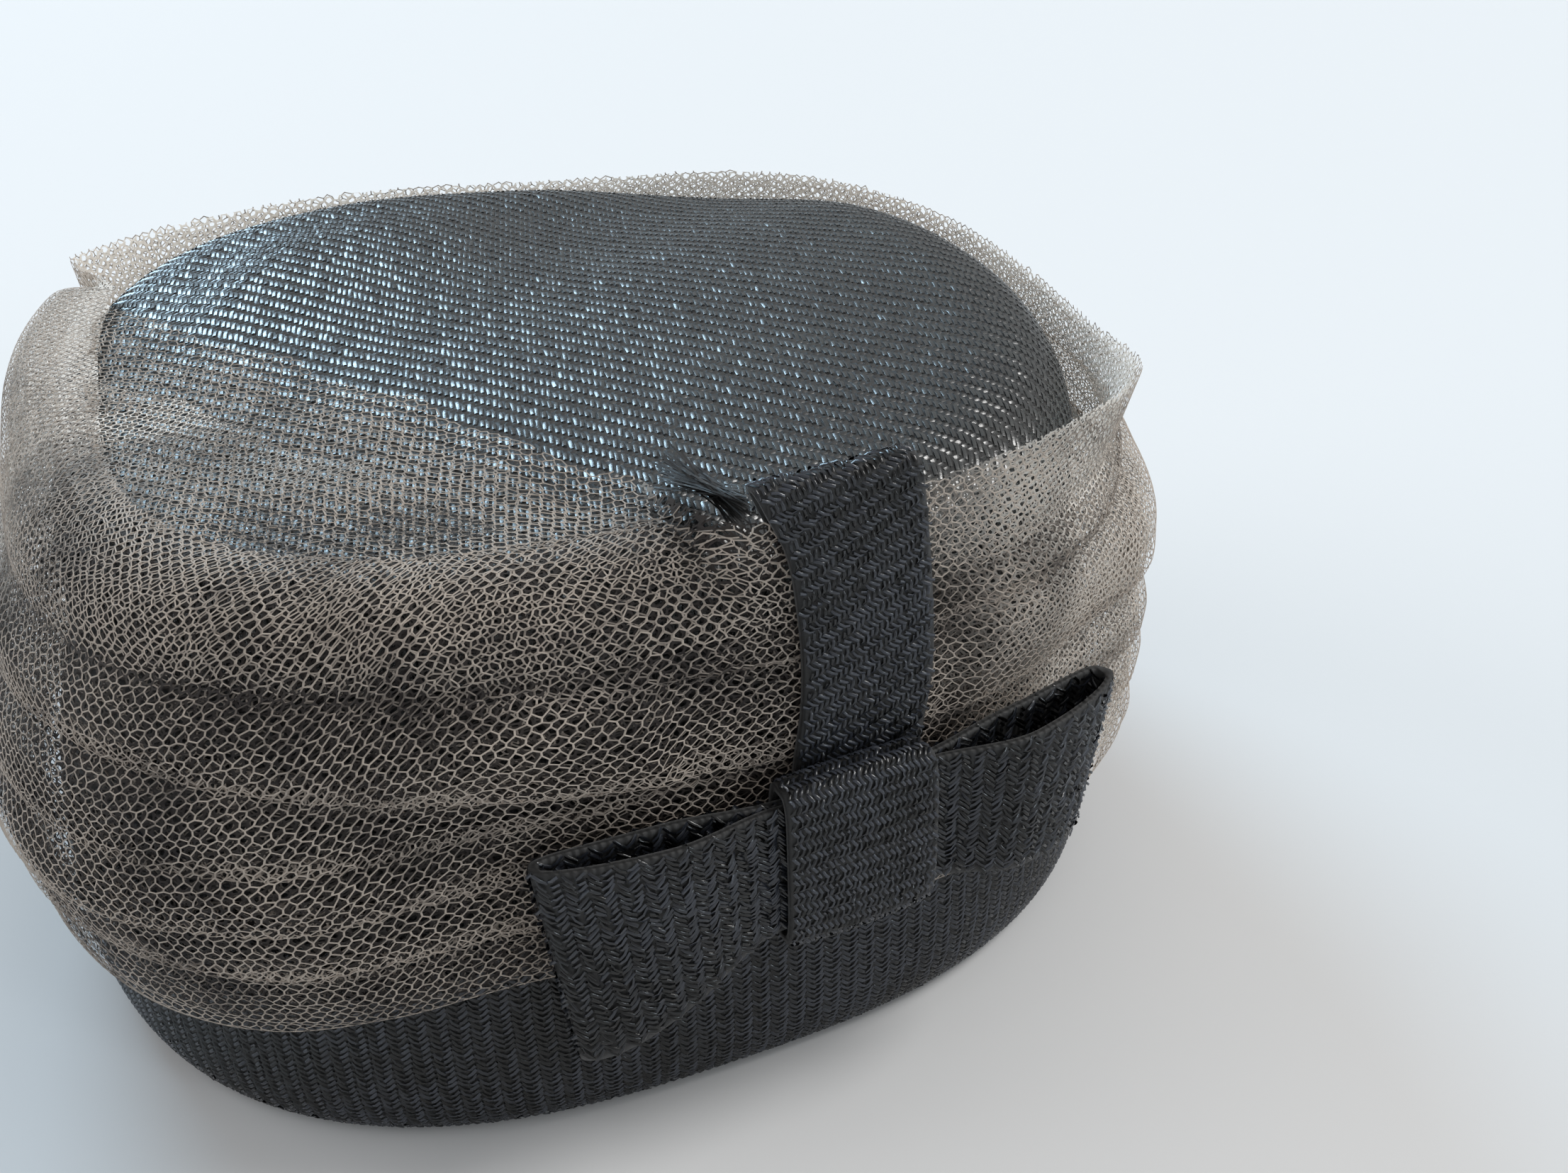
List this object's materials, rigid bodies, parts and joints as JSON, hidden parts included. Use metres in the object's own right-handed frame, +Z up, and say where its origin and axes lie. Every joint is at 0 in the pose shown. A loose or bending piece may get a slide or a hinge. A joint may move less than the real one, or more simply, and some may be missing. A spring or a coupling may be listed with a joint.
{
  "type": "hat",
  "caption": "Pillbox hat of dark woven straw cloth, swathed in gathered taupe tulle, with a strap and a flat bow in front.",
  "frame": {"origin": "on the plane of the rim, at the middle of the hat's bounding box in plan", "axes": "+Z up through the tip, -Y towards the front with the bow, +X to the right as seen from the front"},
  "size_m": [0.1959, 0.1937, 0.101],
  "materials": {
    "straw_cloth": "glossy flat straw fibre, woven in a fine herringbone",
    "tulle": "matt taupe net with fine six-sided holes, gathered in layers",
    "trim_cloth": "glossy flat straw fibre, woven in a fine herringbone, raw at the ends"
  },
  "bodies": {
    "root": {"side_band": "straw_cloth", "crown_tip": "straw_cloth", "tulle_drape": "tulle", "front_strap": "trim_cloth", "bow_knot": "trim_cloth", "bow_wing_left": "trim_cloth", "bow_wing_right": "trim_cloth"}
  },
  "joints": []
}
